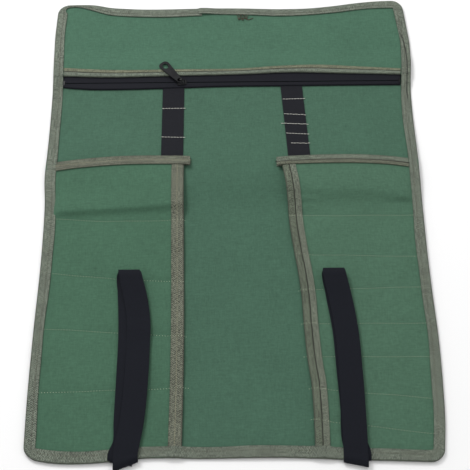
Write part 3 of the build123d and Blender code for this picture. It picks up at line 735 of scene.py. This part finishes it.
class Pocket:
    """One tool pocket: its seams, its open side and how its cloth stands off the back."""

    def __init__(self, side, seams, top, mouth, mouth_tape, fullness):
        self.side = side  # -1 on the left, 1 on the right
        self.seams = seams  # station of each by x
        self.top = top  # station of the upper edge by x
        self.mouth = mouth  # x of the open side by station
        self.mouth_tape = mouth_tape  # width of the tape on it
        self.fullness = fullness  # height of the cloth between seams by station

    def from_mouth(self, x, s):
        """Distance inwards from the open side."""
        return (self.mouth(s) - x) * -self.side

    def gap(self, x, s):
        """Room between the back and the pocket's cloth."""
        lines = [np.full(np.shape(x), 6.0), *[seam(x) for seam in self.seams], self.top(x) - 5]
        near = np.min([np.abs(s - line) for line in lines], axis=0)
        inside = self.from_mouth(x, s)
        from_edge = (HALF_WIDTH - 10) - np.abs(x)
        open_side = 1 - ease(self.mouth_tape, self.mouth_tape + 45, inside)
        pillow = (1 - np.exp(-near / SEAM_ROUND)) * self.fullness(s) * (1 + 0.8 * open_side)
        over_tape = 0.75 * (1 - ease(self.mouth_tape, self.mouth_tape + 6, inside)) * ease(2, 9, s)
        over_top_tape = 0.72 * ease(16, 10, self.top(x) - s)
        return CLEAR + pillow * ease(0, 26, from_edge) + np.maximum(over_tape, over_top_tape)

    def on_tape(self, x, s):
        """1 where the mouth's tape is, 0 away from it."""
        inside = self.from_mouth(x, s)
        return ease(-1.5, 0, inside) * ease(self.mouth_tape + 1, self.mouth_tape - 0.5, inside)

    def surface(self, x, s):
        """Upper face of the pocket and its mouth's tape, and of the back beside it."""
        outside = ease(0.5, -1, self.from_mouth(x, s))
        return (self.high(x, s) + (TAPE + 0.6) * self.on_tape(x, s)) * (1 - outside) + BASE_TOP * outside

    def low(self, x, s):
        return BASE_TOP + self.gap(x, s) + self.crease(x, s)

    def high(self, x, s):
        return self.low(x, s) + CANVAS

    def crease(self, x, s):
        """Fold across the pocket's upper part, steep towards the roll's lower edge."""
        inward = ease(-4, 3, HALF_WIDTH - 13 - np.abs(x))
        if self.side < 0:
            line = 297.5 + (x + 128) * 0.05
            return CREASE * ridge(line, np.where(s < line, 5.0, 24), s) * inward
        outer = ease(140, 200, x)
        line = 320 - 9 * outer
        crest = CREASE * ridge(line, np.where(s < line, 12 - 3 * outer, 24), s)
        crest = crest + 2.0 * (ridge(307, 3.6, s) + 0.6 * ridge(298, 5, s)) * ease(110, 80, x)
        pinch = 1.6 * ridge(303, 3.2, s) * ease(165, 190, x)
        return np.maximum(crest - pinch, 0) * inward


left_pocket = Pocket(
    -1,
    [
        smooth((-199, 285.5), (-150, 282.5), (-55, 282.2)),
        smooth((-200, 215.8), (-140, 209), (-55, 203)),
        smooth((-204, 148), (-54, 137.4)),
        smooth((-203, 73.4), (-120, 76), (-50, 77.8)),
    ],
    smooth((-206, 362.5), (-170, 367.2), (-123, 370.6), (-80, 370.3), (-49, 369.1)),
    lambda s: -54.5 + 1.2 * np.sin(s / 75),
    14.0,
    smooth((0, 0.7), (60, 1.0), (200, 1.1), (283, 1.2), (320, 1.9), (360, 1.6)),
)
right_pocket = Pocket(
    1,
    [
        smooth((62, 287), (206, 286.5)),
        smooth((70, 236.8), (198, 233)),
        smooth((74, 192), (200, 195)),
        smooth((76, 151), (205, 151)),
        smooth((77, 112.6), (205, 111.2)),
        smooth((79, 76), (205, 63.6)),
        smooth((80, 41.5), (205, 28.2)),
    ],
    smooth((49, 365.8), (75, 368.4), (106, 370.2), (144, 370), (180, 367.2), (206, 363.8)),
    smooth(
        (0, 81.2), (60, 81), (83, 80), (99, 78.1), (120, 76.2), (156, 74.4), (187, 73.2), (212, 70.8),
        (238, 67.4), (275, 63.1), (301, 61.8), (329, 59.7), (357, 56.1),
    ),
    15.5,
    smooth((0, 0.6), (150, 0.7), (240, 0.9), (287, 1.1), (330, 1.9), (360, 1.6)),
)
POCKET_GRID = (60, 240)  # points across and along a pocket's cloth


def pocket_piece(pocket, side, material):
    """A pocket's cloth as a grid from the roll's edge to its open side and up to its top."""
    share, along = np.meshgrid(*(np.linspace(0, 1, count) for count in POCKET_GRID))
    s = TAPE + along * (366 - TAPE)
    for _ in range(2):  # the sides lean and the top slopes, so each is fitted to the other
        outer = pocket.side * canvas_half(s)
        x = outer + share * (pocket.mouth(s) + pocket.side * TAPE - outer)
        s = TAPE + along * (pocket.top(x) - TAPE - TAPE)
    piece = laid_sheet(f"{side}_pocket_cloth", x, s, pocket.low(x, s), CANVAS, material)
    flat = (float(np.mean(np.abs(x[:, -1] - x[:, 0]))), POCKET_CUT)
    nodes = [f"{side}_pocket_panel"]
    finish_piece(piece, "canvas", ["root"], nodes=nodes, flat=flat, rests_on=["back_cloth_1"])


pocket_piece(left_pocket, "left", left_green)
pocket_piece(right_pocket, "right", right_green)


def mouth_path(pocket, low, high):
    """Path up or down a pocket's open side, with the cloth on its left."""
    s = np.arange(low, high, 3.0)
    path = np.column_stack([pocket.mouth(s), s, np.full(len(s), float(pocket.side)), np.zeros(len(s))])
    return path[::-1] if pocket.side > 0 else path


def top_path(pocket, stop):
    """Path along a pocket's upper edge from the roll's edge tape, with the cloth below it."""
    start = pocket.side * SLOT_EDGE
    x = np.linspace(start, stop, round(abs(stop - start) / 3.5))
    return sideways(x, pocket.top(x), -1)


GIRTH = {"olive_thread": 0.5, "brown_thread": 0.6, "dark_thread": 0.95}  # of the threads in the tapes
TOP_REACH = 12.6  # widths of a pocket's upper tape over and under its cloth
TOP_UNDER = 11.0


def bind(side, edge, path, low, high, material, reach, under, flat, sewing):
    """Tape on one edge of a pocket, with its sewing as (share of the width, thread)."""
    form = SEWN if any(thread == dark_thread for _, thread in sewing) else PLAIN
    name = f"{side}_pocket_{edge}"
    tape, on_top = fold_tape(f"{name}_tape", path, low, high, material, reach, under, form=form)
    held = [f"{side}_pocket_cloth"]
    finish_piece(tape, "binding_tape", ["root"], nodes=[f"{name}_binding"], flat=flat, rests_on=held)
    for number, (share, thread) in enumerate(sewing, 1):
        stitches = f"{side}_{edge}_stitches_{number}"
        sew(stitches, [on_top(share)], thread, ["root"], girth=GIRTH[thread.name])


def bind_pocket(pocket, side, top_stop, mouth_finish, top_finish, mouth_sewing, top_sewing):
    """Tapes over a pocket's open side and its upper edge."""
    path = mouth_path(pocket, 6, 362)
    reach = pocket.mouth_tape
    flat = (2 * reach, MOUTH_TAPE_CUT)
    bind(side, "mouth", path, pocket.low, pocket.high, mouth_finish, reach, reach - 1.5, flat, mouth_sewing)

    def held_by_top(x, s):
        past_tape = ease(reach + 2, reach - 1, pocket.from_mouth(x, s))
        return pocket.high(x, s) + TAPE * past_tape

    path = top_path(pocket, top_stop)
    low = flat_at(BASE_TOP + TAPE + CLEAR)
    bind(side, "top", path, low, held_by_top, top_finish, TOP_REACH, TOP_UNDER, TOP_TAPE_CUT, top_sewing)


bind_pocket(
    left_pocket,
    "left",
    -48.8,
    left_olive,
    left_olive,
    [(0.5, olive_thread)],
    [(0.45, olive_thread), (0.8, brown_thread)],
)
bind_pocket(
    right_pocket,
    "right",
    50.5,
    right_mouth_olive,
    right_top_olive,
    [(0.5, dark_thread)],
    [(0.52, dark_thread)],
)


# ---- seams across the tool pockets ----
SEAM_LIFT = 0.4  # of the thread over the cloth
WANDER = 0.25  # of a row of sewing, to either side of its line


def sew_slots(pocket, name, past_mouth):
    """Rows of sewing that close the slots, from the edge tape to a little past each one's open side."""
    rows = []
    for number, (seam, beyond) in enumerate(zip(pocket.seams, past_mouth)):
        start = pocket.side * SLOT_EDGE
        stop = pocket.mouth(seam(np.array([pocket.side * 70.0])))[0] - pocket.side * beyond
        x = np.linspace(start, stop, round(abs(stop - start) / 2.5))
        s = seam(x) + WANDER * np.sin(x / 11 + 2.3 * number)
        rows.append(row(x, s, lambda x, s: pocket.surface(x, s) + SEAM_LIFT))
    sew(name, rows, green_thread, ["root"], pitch=3.0, stitch=0.8)


sew_slots(left_pocket, "left_pocket_seams", (1, -1, 2, 5))
sew_slots(right_pocket, "right_pocket_seams", (-1, -2, 2, 2, 3, 2.5, 2.5))


# ---- zipped pocket ----
hem_low_line = smooth(
    (-203, 485.5), (-154, 483.4), (-70, 484.6), (10, 486), (71, 488.4), (130, 486.5), (203, 483.8)
)
hem_high_line = smooth(
    (-203, 497.1), (-155, 493.8), (-60, 493.6), (10, 494), (60, 497.6), (103, 498.6), (150, 495.5),
    (203, 491.8),
)
tape_foot_line = smooth(
    (-203, 470.2), (-190, 468.6), (-170, 467), (-138, 466.6), (-70, 468), (-14, 469.6), (60, 469.9),
    (109, 470.2), (163, 470.2), (203, 470.2),
)


def panel_level(x, s):
    """Lower face of the zipped pocket's panel."""
    high = PANEL_HIGH - BASE_TOP
    return BASE_TOP + CLEAR + high * (1 - ease(HEM_HIGH + 1, PANEL_FOOT, s))


def panel_foot(x):
    """Station of the panel's lower edge."""
    return hem_low_line(x) + TAPE


for index, span, foot, nodes in (
    (3, (HEM_LOW + TAPE, PANEL_CUT), panel_foot, ["zip_pocket_panel_turn_3", "zip_pocket_panel_turn_4"]),
    (4, (PANEL_CUT, LENGTH - TAPE), None, ["zip_pocket_panel_turn_5"]),
):
    name = f"zip_pocket_cloth_{index - 2}"
    piece = cloth(name, canvas_sides, span, panel_level, CANVAS, panel_green, foot=foot)
    flat = (2 * HALF_WIDTH, span[1] - span[0])
    finish_piece(piece, "canvas", *joined(index), nodes, flat, rests_on=[f"back_cloth_{index + 1}"])


FRONT_LIFT = 0.65  # of the zip's front tape over the back, at its foot
FRONT_UNDER = 1.3  # width that is folded under there


def zip_tape_front():
    """The zip's front tape, folded under along its foot, which climbs to the slit."""
    x = np.linspace(-ZIP_HALF, ZIP_HALF, 136)
    foot = tape_foot_line(x)

    def climb(x, s):
        start = BASE_TOP + FRONT_LIFT
        return start + (ZIP_TAPE_LOW - BASE_TOP - FRONT_LIFT) * ease(-0.6, 1.2, s - tape_foot_line(x))

    tape, _ = fold_tape(
        "zip_tape_front",
        sideways(x, foot, 1),
        flat_at(BASE_TOP + ZIP_TAPE + EDGE_CLEAR),
        climb,
        black_zip_tape,
        ZIP_LINE - SLIT / 2 - foot,
        FRONT_UNDER,
        thickness=ZIP_TAPE,
        crown=0.0,
    )
    nodes, held = ["zip_tape_lower"], ["back_cloth_3"]
    flat = (2 * ZIP_HALF, FRONT_TAPE_CUT)
    finish_piece(tape, "zip_tape", ["turn_3"], None, nodes, flat, held="folded", rests_on=held)


def zip_tape_back():
    """The zip's back tape, from the slit to under the hem."""
    x, share = np.meshgrid(np.linspace(-ZIP_HALF, ZIP_HALF, 136), np.linspace(0, 1, 7), indexing="ij")
    start = ZIP_LINE + SLIT / 2
    s = start + share * (hem_high_line(x) - 2 - start)
    level = np.full(np.shape(x), ZIP_TAPE_LOW)
    tape = laid_sheet("zip_tape_back", x, s, level, ZIP_TAPE, black_zip_tape, ZIP_LINE)
    nodes, held = ["zip_tape_upper"], ["zip_coil_lower"]
    flat = (2 * ZIP_HALF, float(np.mean(s[:, -1] - s[:, 0])) + 0.6)
    finish_piece(tape, "zip_tape", ["turn_3"], None, nodes, flat, held="stretched", rests_on=held)


HEM_UNDER = 9.0  # width of the hem's tape under the panel


def zip_pocket_hem():
    """Tape on the zipped pocket's lower edge, sewn down its middle."""
    x = np.linspace(-ZIP_HALF, ZIP_HALF, 116)
    foot = hem_low_line(x)
    tape, on_top = fold_tape(
        "zip_pocket_hem_tape",
        sideways(x, foot, 1),
        flat_at(PANEL_HIGH),
        flat_at(PANEL_HIGH + CANVAS + CLEAR),
        hem_olive,
        hem_high_line(x) - foot,
        HEM_UNDER,
        form=SEWN,
    )
    nodes, held = ["zip_pocket_binding"], ["zip_tape_back"]
    flat = (HEM_TAPE_CUT, 2 * ZIP_HALF)
    finish_piece(tape, "binding_tape", ["turn_3"], None, nodes, flat, rests_on=held)
    sew("hem_stitches", [on_top(0.52)], dark_thread, ["turn_3"], girth=GIRTH["dark_thread"])


zip_tape_front()
zip_tape_back()
zip_pocket_hem()


# ---- edge tape ----
MOUTH_TAPES = ((-73, -50), (77, 101))  # x where they pass under the edge tape


def held_top(x, s):
    """Upper face of what the edge tape holds: one canvas, two, or the zip and its hem as well."""
    two = CANVAS * ease(372, 366, s) * np.maximum(ease(-50, -60, x), ease(78, 88, x))
    beside_zip = ease(466.8, 473.7, s) * (ZIP_TAPE_LOW + ZIP_TAPE - BASE_TOP)
    beside_hem = ease(481, 485, s) * (PANEL_HIGH + CANVAS + TAPE - ZIP_TAPE_LOW - ZIP_TAPE)
    falling = ease(HEM_HIGH, PANEL_FOOT, s) * (PANEL_HIGH + TAPE - BASE_TOP)
    over_mouths = sum(ease(a, a + 5, x) * ease(b, b - 5, x) for a, b in MOUTH_TAPES) * ease(20, 12, s)
    return BASE_TOP + EDGE_CLEAR + two + beside_zip + beside_hem - falling + (2 * TAPE + 0.2) * over_mouths


TAPE_JOIN = -38.0  # x where the edge tape's two ends meet at the top
JOIN_LIFT = 1.5  # of the end that lies on the other


def edge_reach(path):
    """Width of the edge tape above the cloth along a path."""
    x, s = path[:, 0], path[:, 1]
    top = ease(585, 599, s)
    narrow = 8.0 * ridge(-196, 22, x) * top
    broad_left = 1.5 * ridge(290, 75, s) * (x < 0) + 1.9 * ridge(-105, 60, x) * top + 0.9 * ease(14, 2, s)
    beside_zip = 1.1 * ridge(480, 34, s) * (x < 0)
    after_join = 2.4 * ease(TAPE_JOIN + 95, TAPE_JOIN + 5, x) * top * (x[0] > 0)
    wander = 0.4 * np.sin(x / 37 + s / 29) + 0.25 * np.sin(x / 11 + s / 13)
    return TAPE_REACH - 0.9 + wander - narrow + broad_left + beside_zip - after_join


def edge_tape(name, index, nodes, *stretches):
    """One length of the edge tape along the stretches of its path, with its sewing."""
    run = np.concatenate(stretches)
    lift = JOIN_LIFT if name == "edge_tape_top_right" else 0.0
    crown = 0.1 if name in ("edge_tape_left_3", "edge_tape_left_4") else CROWN  # low beside the pull

    def held(x, s):
        return held_top(x, s) + lift * ease(TAPE_JOIN + 22, TAPE_JOIN + 4, x) * ease(560, 580, s)

    reach = edge_reach(run)
    tape, on_top = fold_tape(name, run, base_level, held, olive_tape, reach, TAPE_REACH, crown=crown)
    flat = (EDGE_TAPE_CUT, float(np.hypot(*np.diff(run[:, :2], axis=0).T).sum()))
    nodes = [f"edge_binding_{node}" for node in nodes]
    finish_piece(tape, "binding_tape", *joined(index), nodes, flat, rests_on=[f"back_cloth_{index + 1}"])
    stitches = name.replace("tape", "stitches")
    sew(stitches, [on_top(0.6)], brown_thread, *joined(index), pitch=3.6, stitch=2.0, girth=0.6)


ends = HALF_WIDTH - CORNER
edge_tape(
    "edge_tape_1",
    0,
    ("left", "right", "bottom"),
    straight((-HALF_WIDTH, CUTS[1]), (-HALF_WIDTH, CORNER)),
    corner(-ends, CORNER, 180, 270),
    straight((-ends, 0), (ends, 0)),
    corner(ends, CORNER, 270, 360),
    straight((HALF_WIDTH, CORNER), (HALF_WIDTH, CUTS[1])),
)
for index in (1, 2, 3):
    low, high = CUTS[index], CUTS[index + 1]
    for side, start, stop in (
        ("left", (-HALF_WIDTH, high), (-HALF_WIDTH, low)),
        ("right", (HALF_WIDTH, low), (HALF_WIDTH, high)),
    ):
        run = straight(start, stop, 3.0)
        edge_tape(f"edge_tape_{side}_{index + 1}", index, [f"{side}{SUFFIX[index]}"], run)
edge_tape(
    "edge_tape_top_right",
    4,
    ("right_turn_4", "right_turn_5", "top"),
    straight((HALF_WIDTH, CUTS[4]), (HALF_WIDTH, LENGTH - CORNER)),
    corner(ends, LENGTH - CORNER, 0, 90),
    straight((ends, LENGTH), (TAPE_JOIN - 2, LENGTH)),
)
edge_tape(
    "edge_tape_top_left",
    4,
    ("left_turn_4", "left_turn_5"),
    straight((TAPE_JOIN + 2, LENGTH), (-ends, LENGTH)),
    corner(-ends, LENGTH - CORNER, 90, 180),
    straight((-HALF_WIDTH, LENGTH - CORNER), (-HALF_WIDTH, CUTS[4])),
)


SLIT_LENGTHS = ((2, 451.5, 498.5), (3, 501.5, 538.5), (4, 541.5, 549.0))  # (fold, from, to)
SLIT_PATH = ((451, 210.4), (510, 209.8), (538, 207.6), (549, 205.0))  # (station, x)


def edge_slit_shadow():
    """Dark thread line laid in as the shadow where the edge tape gapes beside the zip, in a length for each
    fold.
    """
    for index, low, high in SLIT_LENGTHS:
        s = np.arange(low, high, 2.0)
        x = np.interp(s, *zip(*SLIT_PATH))
        # dark thread put in as the painted shadow inside the gape
        gape_shadow = row(x, s, lambda x, s: held_top(x, s) + TAPE + 0.45)
        name = f"edge_slit_shadow_{index + 1}"
        sew(name, [gape_shadow], dark_thread, *joined(index), pitch=2.6, stitch=2.6, girth=0.9)


def frayed_end():
    """Loose loops and a tail of thread at the middle of the upper edge."""
    along = np.linspace(-1, 1, 9)
    rows = [
        row(x + 1.6 * along, 588 - depth * (1 - along**2), lambda x, s: held_top(x, s) + TAPE + 0.6)
        for x, depth in ((9.5, 7.0), (14.0, 8.0), (18.5, 5.5))
    ]
    rows.append(row(18 + 8 * along, 582.5 - 1.4 * np.sin(4 * along), lambda x, s: held_top(x, s) + 0.5))
    sew("frayed_end", rows, brown_thread, *joined(4), pitch=1.3, stitch=2.4, girth=0.9)


edge_slit_shadow()
frayed_end()


# ---- webbing strips ----
WEBBING_FOOT = 366.0  # station under the pocket's upper tape
WEBBING_HEAD = 470.0  # and under the zip's front tape
WEBBING_STEP = (2.2, 2.6)  # size of its mesh's faces
webbing_level = flat_at(BASE_TOP + WEBBING_CLEAR)


def webbing_strip(side, x_top, lean, crossings):
    """The lengths of one webbing strip, from the pocket's upper tape to the zip, and the sewing across it
    as (station, share of the width where it starts, share where it stops, droop). x_top is its left side
    at the zip, and lean is how far it has moved over at its foot."""
    slant = lean / (WEBBING_HEAD - WEBBING_FOOT)

    def left(s):
        return x_top + slant * (WEBBING_HEAD - s)

    sides = (left, lambda s: left(s) + WEBBING_WIDTH)
    places = (WEBBING_FOOT, CUTS[1], CUTS[2], WEBBING_HEAD)
    for index, (low, high) in enumerate(zip(places, places[1:])):
        name = f"webbing_{side}_{index + 1}"
        head = (lambda x: tape_foot_line(x) + 0.3) if index == 2 else None
        cut = (name, sides, (low, high), webbing_level, WEBBING - 0.3)
        piece = cloth(*cut, black_webbing, WEBBING_STEP, head=head)
        nodes = [f"webbing_{side}{SUFFIX[index + 1]}"] + ([f"webbing_{side}_foot"] if index == 0 else [])
        flat = (WEBBING_WIDTH, high - low)
        finish_piece(piece, "webbing", *joined(index), nodes, flat, rests_on=[f"back_cloth_{index + 1}"])
        rows = []
        for station, start, stop, droop in crossings:
            if low < station < high:
                share = np.linspace(start, stop, 14)
                x = left(station) + share * WEBBING_WIDTH
                s = station + droop * share + 0.25 * np.sin(share * 23 + station)
                rows.append(row(x, s, lambda x, s: webbing_level(x, s) + WEBBING - 0.15))
        if rows:
            name = f"webbing_stitches_{side}_{index + 1}"
            sew(name, rows, pale_thread, *joined(index), pitch=3.1, stitch=3.0, girth=0.62)


webbing_strip("left", -82.5, 0.0, [(438.3, 0.06, 1.02, 0), (397.2, 0.06, 1.02, -0.8)])
webbing_strip(
    "right",
    58.2,
    6.2,
    [
        (450.4, 0.1, 1.02, 0.6),
        (428.4, 0.08, 0.98, -1.4),
        (414.6, -0.1, 1.04, -1.0),
        (400.6, 0.08, 1.02, -1.2),
        (386.8, 0.25, 1.0, -0.4),
    ],
)


# ---- closing loops ----
def unit(vectors):
    """Vectors at length 1."""
    return vectors / np.linalg.norm(vectors, axis=1)[:, None]


def strap_ribbon(name, route):
    """Strap along a route of (x, station, z, tilt, skew) points; tilt lifts its right side and skew moves
    it on. Returns the piece and its length."""
    route = np.array(route, float)
    travelled = np.concatenate([[0], np.cumsum(np.linalg.norm(np.diff(route[:, :3], axis=0), axis=1))])
    lines = [smooth(*zip(travelled, route[:, k])) for k in range(5)]
    along = np.arange(0, travelled[-1], 1.6)
    centre = np.column_stack([line(along) for line in lines[:3]])
    tilt, skew = lines[3](along), lines[4](along)
    tangent = unit(np.gradient(centre, along, axis=0))
    along_roll = tangent.copy()
    along_roll[:, 0] *= ease(214, 176, centre[:, 1])  # near its eye the strap lies square to the roll
    along_roll = unit(along_roll)
    lean = np.column_stack([np.ones(len(along)), np.zeros(len(along)), tilt])
    lean = unit(lean - (lean * along_roll).sum(1)[:, None] * along_roll)
    normal = unit(np.cross(lean, tangent))
    offset = np.linspace(-0.5, 0.5, 11) * STRAP_WIDTH
    narrowed = 1 - 0.1 * ease(210.5, 216.5, centre[:, 1])
    middle = centre[:, None, :] + offset[None, :, None] * (narrowed[:, None] * lean)[:, None, :]
    middle[..., 1] += skew[:, None] * offset[None, :]
    half = normal[:, None, :] * STRAP / 2
    uv = np.stack(np.broadcast_arrays(along[:, None], offset[None, :]), -1)
    strap = sheet_piece(name, to_frame(middle + half), to_frame(middle - half), uv, black_strap)
    return strap, travelled[-1]


HEEL = ((9, 0.45), (3, 0.45), (-2.8, 0.6), (-4.6, 2.2), (-3.4, 4.2), (2, 5.3))  # (station, z)
TAIL = ((4, 7.1, 0), (-5.4, 6.2, 1), (-8.0, 3.6, 1), (-7.0, 1.4, 1), (-3.5, 1.2, 0.6))  # and skew's share
HINGE_Z = (3.3, 9.2)  # levels between which a strap bends when its loop is lifted
HINGE_LEAN = 0.25  # slope, towards the upper edge, of the line on which they are counted


def closing_loop(side, heel, lower, upper, skew):
    """Doubled strap sewn under the roll's lower edge, with an open eye at its fold. The layers are lists
    of (x, station, z, tilt); heel is the x of each layer's end at the edge."""
    start = [(heel[0], s, z, 0, -0.5 * skew if s < 0 else 0) for s, z in HEEL]
    end = [(heel[1], s, z, 0, share * skew) for s, z, share in TAIL]
    x, s, z, _ = lower[-1]
    fold_x = (x + upper[0][0]) / 2
    eye = [(fold_x, s + 4.5, z + 2.2, 0), (fold_x, s + 3.5, z + 5.4, 0)]
    route = start + [(*point, 0) for point in (*lower, *eye, *upper)] + end
    strap, travelled = strap_ribbon(f"strap_{side}", route)
    size = HINGE_LEAN * HINGE_LEAN + 1
    fold = [at(heel[0], level / size * HINGE_LEAN, level / size) for level in HINGE_Z]
    bodies = ("root", f"loop_{side}")
    nodes = [f"closing_loop_{side}", f"strap_end_{side}"]
    flat = (STRAP_WIDTH, travelled)
    held = [f"{side}_pocket_cloth"]
    finish_piece(strap, "strap", bodies, fold, nodes, flat, held="folded", rests_on=held)


closing_loop(
    "left",
    (-117.2, -111.2),
    [
        (-112.6, 14, 5.7, 0), (-112.2, 40, 6.0, 0), (-111.2, 95, 6.2, 0), (-110.9, 140, 6.2, 0),
        (-113.4, 190, 6.2, 0), (-115.0, 211, 6.6, 0),
    ],
    [
        (-113.2, 212, 12.6, 0), (-110.6, 201, 11.6, 0.02), (-106.0, 182, 9.2, 0.03),
        (-102.6, 160, 7.9, 0.03), (-101.6, 143, 7.9, 0.03), (-101.7, 137, 7.4, 0.03),
        (-102.4, 95, 7.7, 0.03), (-106.4, 35, 7.6, 0.01),
    ],
    0.4,
)
closing_loop(
    "right",
    (125.4, 122.2),
    [
        (122.0, 14, 5.7, 0), (121.4, 52, 6.0, 0), (119.4, 98, 6.2, 0), (117.6, 140, 6.2, 0),
        (111.5, 190, 6.2, 0), (108.9, 211, 6.6, 0),
    ],
    [
        (109.3, 212, 12.6, 0), (111.2, 201, 11.6, -0.02), (114.8, 182, 9.0, 0.0), (120.0, 140, 7.7, 0.02),
        (121.6, 98, 7.7, 0.01), (122.4, 40, 7.6, 0.01),
    ],
    -0.22,
)


# ---- zip slider and pull ----
for node, material in (
    ("zip_slider", black_enamel),
    ("pull_tab", black_enamel),
    ("zip_end_stops", black_enamel),
    ("zip_coil_lower", black_nylon),
    ("zip_coil_upper", black_nylon),
):
    mesh = frame["nodes"][node].data
    mesh.materials.clear()
    mesh.materials.append(material)


# ---- camera, light and floor ----
def studio():
    """Camera, soft light from above the roll's upper left, and a plain floor."""
    scene = bpy.context.scene
    scene.view_settings.view_transform = "Standard"
    camera = added("camera", bpy.data.cameras.new("camera"))
    camera.data.lens = 101.0
    camera.data.sensor_width = 36.0
    camera.data.clip_start = 0.05
    turned = Matrix()
    for axis, angle in (("Z", -0.0026), ("X", 0.5365), ("Z", -0.0071)):
        turned = turned @ Matrix.Rotation(angle, 4, axis)
    camera.matrix_world = Matrix.Translation((0, -0.78825, 1.2672)) @ turned
    scene.camera = camera

    world = bpy.data.worlds.new("studio")
    world.use_nodes = True
    world.node_tree.nodes["Background"].inputs["Color"].default_value = (1, 1, 1, 1)
    world.node_tree.nodes["Background"].inputs["Strength"].default_value = 0.67
    scene.world = world

    for name, place, size, power in (
        ("key", (-0.8, 1.1, 1.45), 0.7, 19.5),
        ("fill", (0.9, 0.2, 1.6), 1.6, 3.0),
    ):
        light = added(name, bpy.data.lights.new(name, "AREA"))
        light.data.shape = "DISK"
        light.data.size = size
        light.data.energy = power
        light.location = place
        light.rotation_euler = (-Vector(place)).to_track_quat("-Z", "Y").to_euler()

    bpy.ops.mesh.primitive_plane_add(size=8, location=(0, 0, -0.0002))
    floor = bpy.context.object
    floor.name = "floor"
    white = Paint("floor_white", Roughness=0.9, Base_Color=(0.97, 0.97, 0.97, 1))
    floor.data.materials.append(white.material)


studio()
